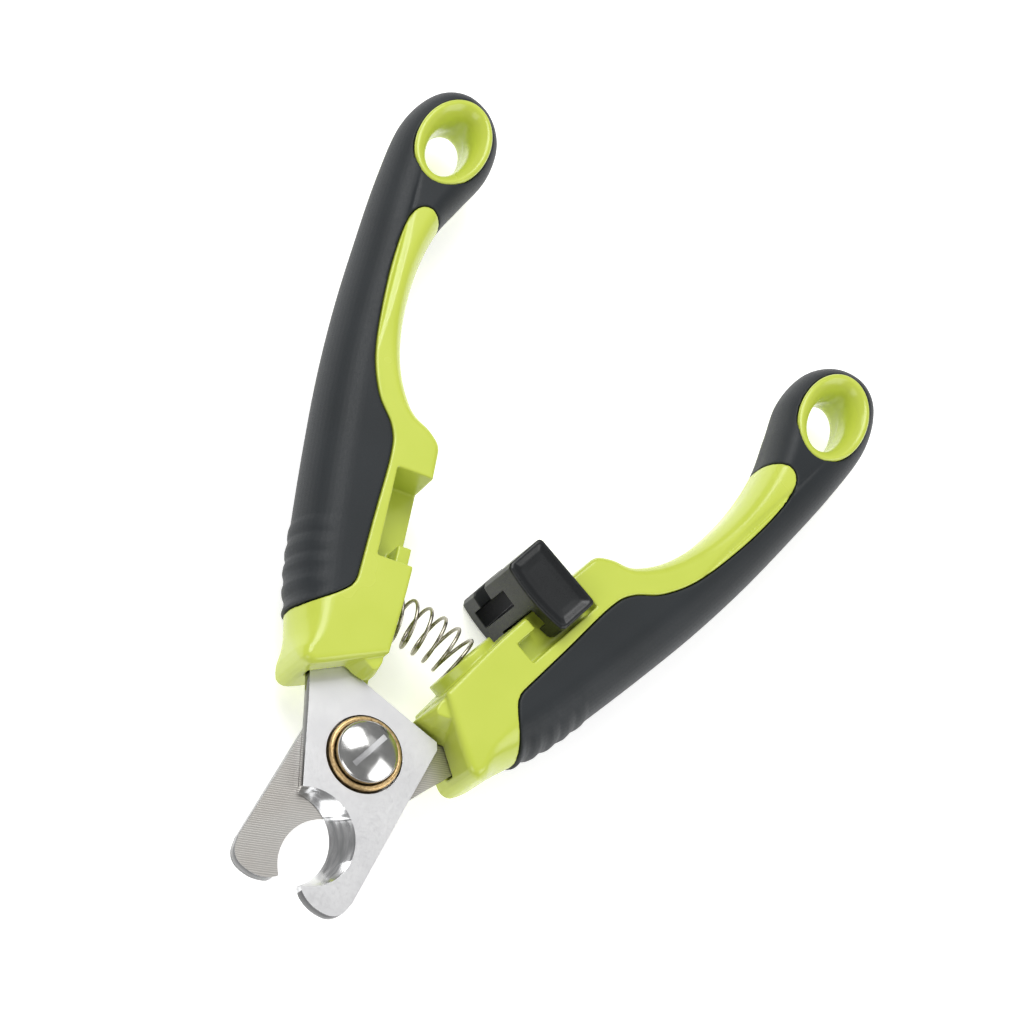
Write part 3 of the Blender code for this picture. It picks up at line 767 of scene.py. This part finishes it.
def make_blade(side, node, looks, hole):
    """A blade plate. looks: the materials of its faces, of its edge, a near-black steel as painted shade,
    and of the notch's wall.
    """
    tip = [tuple(p) for p in curve_through(BLADE_TIP, TIP_STEP)]
    outline = TANG + BLADE_OUTER + tuple(tip) + BLADE_INNER
    blade = prism(node + "_plate", outline, SHEAR_GAP, BLADE_THICK, side)
    edge, face = np.array(NOTCH_EDGE), np.array(NOTCH_FACE)
    angles = np.arange(160) * 2 * math.pi / 160
    loops = []
    notch_z = (-NOTCH_OVERRUN, BLADE_THICK + NOTCH_OVERRUN)
    for depth in notch_z:
        x, y, radius = edge + (face - edge) / BLADE_THICK * depth
        loops.append(np.column_stack([x + radius * np.cos(angles), y + radius * np.sin(angles)]))
    boolean(blade, prism(node + "_notch", loops[0], *notch_z, side, top_loop=loops[1]))
    boolean(blade, lathe(node + "_hole", [(0.0, -5.0), (hole, -5.0), (hole, 5.0), (0.0, 5.0)], side))
    applied(blade)
    shape = bmesh.new()
    shape.from_mesh(blade.data)
    verts, edges = shape.verts[:], shape.edges[:]
    bmesh.ops.dissolve_limit(shape, angle_limit=math.radians(1.0), verts=verts, edges=edges)
    shape.to_mesh(blade.data)
    shape.free()
    blade.data.materials.clear()
    for look in looks:
        blade.data.materials.append(look)
    middle = Vector(placed([(*NOTCH_EDGE[:2], 0.0)], side)[0])
    for poly in blade.data.polygons:
        inward = middle - poly.center
        inward.z = 0.0
        in_notch = inward.length * 1000 < NOTCH_EDGE[2] + 3.0 and inward.dot(poly.normal) > 0
        # Side walls outside the notch take the near-black steel, which is painted shade; the notch wall
        # takes the plain polished steel.
        poly.material_index = 0 if abs(poly.normal.z) > 0.9 else 1 + in_notch
    round_off = blade.modifiers.new("edges", "BEVEL")
    round_off.width = BLADE_EDGE_ROUND / 1000
    round_off.segments = 3
    round_off.limit_method = "ANGLE"
    round_off.angle_limit = math.radians(35.0)
    round_off.material = 2
    round_off.harden_normals = True
    applied(blade)
    for poly in blade.data.polygons:
        poly.use_smooth = abs(poly.normal.z) < 0.99
    dressed(blade, None, BODIES[side], node)


def arc(centre, radius, start, end, count):
    angles = np.radians(np.linspace(start, end, count))
    return [(centre[0] + radius * math.cos(a), centre[1] + radius * math.sin(a)) for a in angles]


def turned_piece(name, section, sharp, look, node):
    """A turned piece of the pivot, smooth but for the edges that are sharper than an angle in degrees."""
    piece = lathe(name, section, "plain")
    smoothed(piece, sharp)
    dressed(piece, look, "right_half", node)


def smoothed(obj, sharp):
    obj.data.shade_smooth()
    obj.data.set_sharp_from_angle(angle=math.radians(sharp))


def make_bushing(look):
    base = SHEAR_GAP + 0.1
    lip = (BUSHING_R + SCREW_HEAD_R + HEAD_GAP) / 2
    crown = (BUSHING_R - SCREW_HEAD_R - HEAD_GAP) / 2
    ring = [(BUSHING_BORE_R, base), (BUSHING_R, base)]
    ring += arc((lip, BUSHING_TOP_Z - crown), crown, 0, 180, 13)
    ring += [(SCREW_HEAD_R + HEAD_GAP, HEAD_SEAT_Z), (BUSHING_BORE_R, HEAD_SEAT_Z)]
    turned_piece("gold_bushing", ring, 40.0, look, "pivot_bushing")


def make_screw(looks):
    """The screw. looks: the materials of its body, of the slot's floor, a brighter steel as painted
    highlight, and of the slot's walls, a near-black steel as painted shade.
    """
    end = NUT_TOP_Z - NUT_THICK - 0.4
    under = HEAD_SEAT_Z + 0.1
    rise = SCREW_TOP_Z - SCREW_RIM_Z
    profile = [(0.0, end), (SCREW_SHANK_R - 0.5, end), (SCREW_SHANK_R, end + 0.5), (SCREW_SHANK_R, under)]
    profile += [(SCREW_HEAD_R - 0.15, under), (SCREW_HEAD_R, under + 0.15)]
    profile += [(SCREW_HEAD_R, SCREW_RIM_Z - 0.15), (SCREW_HEAD_R - 0.03, SCREW_RIM_Z - 0.05)]
    for k in np.linspace(0.975, 0.05, 20):
        profile.append((SCREW_HEAD_R * k, SCREW_RIM_Z + rise * (1 - k * k)))
    screw = lathe("dome_screw", profile + [(0.0, SCREW_TOP_Z)], "plain")
    length, width, deep = SCREW_SLOT
    low = (-width / 2, -length / 2, SCREW_TOP_Z - deep)
    boolean(screw, block("screw_slot", low, (width / 2, length / 2, SCREW_TOP_Z + 2), "plain"))
    smoothed(applied(screw), 25.0)
    screw.data.materials.clear()
    for look in looks:
        screw.data.materials.append(look)
    for poly in screw.data.polygons:
        above = (poly.center.z - PIVOT[2]) * 1000 - (SCREW_TOP_Z - deep)
        # The slot's floor takes the brighter steel, a painted highlight; its walls take the near-black
        # steel, painted shade.
        if abs(above) < 0.02 and poly.normal.z > 0.99:
            poly.material_index = 1
        if above > 0.02 and abs(poly.normal.z) < 0.1:
            poly.material_index = 2
    dressed(screw, None, "right_half", "pivot_screw")


def make_washer_and_nut(look):
    top = NUT_TOP_Z + 0.1 + WASHER_THICK
    low = top - WASHER_THICK
    section = [(SCREW_SHANK_R + 0.1, low), (WASHER_R - 0.2, low), (WASHER_R, low + 0.2)]
    section += [(WASHER_R, top - 0.1), (WASHER_R - 0.1, top), (SCREW_SHANK_R + 0.1, top)]
    turned_piece("back_washer", section, 30.0, look, "pivot_washer")

    corner = NUT_FLATS / 2 / math.cos(math.radians(30))
    base = NUT_TOP_Z - NUT_THICK
    nut = prism("back_nut", arc((0.0, 0.0), corner, 0, 300, 6), base, NUT_TOP_Z, "plain")
    bore = SCREW_SHANK_R + 0.08
    boolean(nut, lathe("nut_bore", [(0.0, -12.0), (bore, -12.0), (bore, 0.0), (0.0, 0.0)], "plain"))
    cone = [(0.0, base - 1.0), (corner - 1.9, base - 1.0), (corner + 1.1, base + 1.7)]
    cone += [(corner + 1.1, 0.0), (0.0, 0.0)]
    boolean(nut, lathe("nut_chamfer", cone, "plain"), "INTERSECT")
    smoothed(applied(nut), 30.0)
    dressed(nut, look, "right_half", "pivot_nut")


def make_slider(look):
    """The lock slider: one block through both faces, dished for the thumb and slotted for each half."""
    left, right = SLIDER_X
    low, high = SLIDER_Y
    deep = SLIDER_HALF_DEPTH
    middle, reach = (left + right) / 2, (right - left) / 2
    across = np.linspace(left + 0.5, right - 0.5, 25)
    bowed = [(x, low - SLIDER_SAG * (1 - ((x - middle) / reach) ** 2)) for x in across]
    sides = arc((right - 0.7, high - 0.7), 0.7, 0, 90, 5) + arc((left + 0.7, high - 0.7), 0.7, 90, 180, 5)
    plan = np.array(bowed + [(right, low + 0.6)] + sides + [(left, low + 0.6)])
    centre = np.array((middle, (low - SLIDER_SAG / 2 + high) / 2))
    half = np.array((reach, (high - low + SLIDER_SAG) / 2))
    rims = ((0.42, 0.0), (0.2, 0.07), (0.05, 0.22), (0.0, 0.42))
    dished = ((0.62, 0.03), (1.35, 0.40), (1.6, 0.47), (2.6, 0.55))
    levels = [(inset, deep - drop) for inset, drop in dished[::-1] + rims]
    levels += [(inset, -z) for inset, z in levels[::-1]]
    points = []
    for inset, z in levels:
        ring = centre + (plan - centre) * (half - inset) / half
        points.append(np.column_stack([ring, np.full(len(plan), z)]))
    slider = object_of("thumb_lock", np.vstack(points), rings_to_faces(len(plan), len(levels)), "plain")
    wall_low, wall_high = SLIDER_WALL_X
    rib = RIB[0] + SLIDER_PLAY - wall_high + 0.15
    web = (DEEP_FLOOR_Z + SLIDER_PLAY, SHALLOW_FLOOR_Z - SLIDER_PLAY)
    catch = (RIB[2] + SLIDER_PLAY, -HALF_THICK - SLIDER_PLAY)
    cuts = {
        "left_web": ((-12.0, 20.0, web[1]), (wall_low, 55.0, web[0])),
        "left_rib": ((wall_low - rib, 20.0, catch[1]), (wall_low, 55.0, catch[0])),
        "right_web": ((wall_high, 20.0, -web[0]), (12.0, 55.0, -web[1])),
        "right_rib": ((wall_high, 20.0, -catch[0]), (wall_high + rib, 55.0, -catch[1])),
    }
    for name, (first, second) in cuts.items():
        boolean(slider, block("slider_" + name, first, second, "plain"))
    softened(applied(slider), SLIDER_GRID, 2)
    dressed(slider, look, "lock", "lock_slider")


def make_spring(look):
    """A coil bent round the pivot, from the right seat to the left seat."""
    end = math.asin((SPRING_SEAT_X - 1.0) / SPRING_Y) + OPEN_HALF_ANGLE
    total = int(SPRING_TURNS * SPRING_STEPS)
    points = []
    for k in range(total + 1):
        t = k / total
        along = end * (1 - 2 * t)
        twist = 2 * math.pi * SPRING_TURNS * t
        out = SPRING_Y + SPRING_COIL_R * math.cos(twist)
        up = -SPRING_COIL_R * math.sin(twist)
        base = np.array((out * math.sin(along), out * math.cos(along), up))
        hub = np.array((SPRING_Y * math.sin(along), SPRING_Y * math.cos(along), 0.0))
        radial = (base - hub) / np.linalg.norm(base - hub)
        axis = np.array((math.cos(along), -math.sin(along), 0.0))
        for s in range(WIRE_STEPS):
            a = 2 * math.pi * s / WIRE_STEPS
            points.append(base + SPRING_WIRE_R * (radial * math.cos(a) + axis * math.sin(a)))
    faces = rings_to_faces(WIRE_STEPS, total + 1)
    spring = object_of("push_spring", points, faces, "world", split=False)
    spring.data.shade_smooth()
    dressed(spring, look, None, "return_spring")
    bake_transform(spring)


# ---- stage ----
def make_floor():
    size = FLOOR_HALF_SIZE
    mesh = bpy.data.meshes.new("floor")
    low = cad_box[0].z - 0.0002
    corners = [(-size, -size, low), (size, -size, low), (size, size, low), (-size, size, low)]
    mesh.from_pydata(corners, [], [(0, 1, 2, 3)])
    floor = bpy.data.objects.new("floor", mesh)
    bpy.context.collection.objects.link(floor)
    glow = {"Emission_Color": (1.0, 1.0, 1.0, 1.0), "Emission_Strength": FLOOR_GLOW}
    made = Nodes("pale_floor", (0.88, 0.88, 0.88), 0.8, **glow)
    shade = made.mixed(made.noise(6.0), (0.93, 0.93, 0.93), (0.95, 0.95, 0.95))
    mesh.materials.append(made.give(shade))


def make_lights():
    world = bpy.data.worlds.new("studio")
    bpy.context.scene.world = world
    world.use_nodes = True
    background = world.node_tree.nodes["Background"]
    background.inputs["Color"].default_value = (1.0, 1.0, 1.0, 1.0)
    background.inputs["Strength"].default_value = WORLD_LIGHT
    bpy.context.scene.view_settings.view_transform = "Standard"
    centre = (cad_box[0] + cad_box[1]) / 2
    for name, offset, width, power in LAMPS:
        lamp = bpy.data.lights.new(name, "AREA")
        lamp.shape = "SQUARE"
        lamp.size = width
        lamp.energy = power
        obj = bpy.data.objects.new(name, lamp)
        obj.location = centre + Vector(offset)
        obj.rotation_euler = (-Vector(offset)).to_track_quat("-Z", "Y").to_euler()
        bpy.context.collection.objects.link(obj)


def make_camera():
    """The camera stands above the jaws' end, looking down at the front faces, turned to one side."""
    data = bpy.data.cameras.new("camera")
    data.sensor_width = 36.0
    data.lens = CAMERA_LENS
    data.clip_start = 0.01
    data.clip_end = 20.0
    camera = bpy.data.objects.new("camera", data)
    bpy.context.collection.objects.link(camera)
    right, up = Vector(CAMERA_RIGHT), Vector(CAMERA_UP)
    turn = Matrix((right, up, right.cross(up))).transposed().to_4x4()
    spot = Vector(PIVOT) + Vector(CAMERA_FROM_PIVOT)
    camera.matrix_world = Matrix.Translation(spot) @ turn
    bpy.context.scene.camera = camera


green = green_plastic()
rubber = grip_rubber()
notch_steel = polished_steel("polished_notch", 0.72)
# The blades' side walls get a near-black copy of the polished steel as painted shade.
painted_shade_side_steel = polished_steel("painted_shade_blade_side", 0.11)
for half in ("left", "right"):
    make_core(half, green)
    make_grip(half, rubber)
    make_eyelet(half, green)
make_blade("left", "upper_blade", (satin_steel(), painted_shade_side_steel, notch_steel), UPPER_HOLE_R)
make_blade("right", "lower_blade", (ground_steel(), painted_shade_side_steel, notch_steel), LOWER_HOLE_R)
# The screw's slot is shown by painted light: a brighter floor as painted highlight and near-black walls as
# painted shade.
slot_painted_light_looks = (polished_steel("slot_floor_painted_highlight", 0.85), polished_steel("slot_wall_painted_shade", 0.06))
make_bushing(brass())
make_screw((chrome(), *slot_painted_light_looks))
make_washer_and_nut(plated())
make_slider(black_plastic())
make_spring(wire_steel())
for cutter in CUTTERS:
    bpy.data.objects.remove(cutter, do_unlink=True)
make_floor()
make_lights()
make_camera()
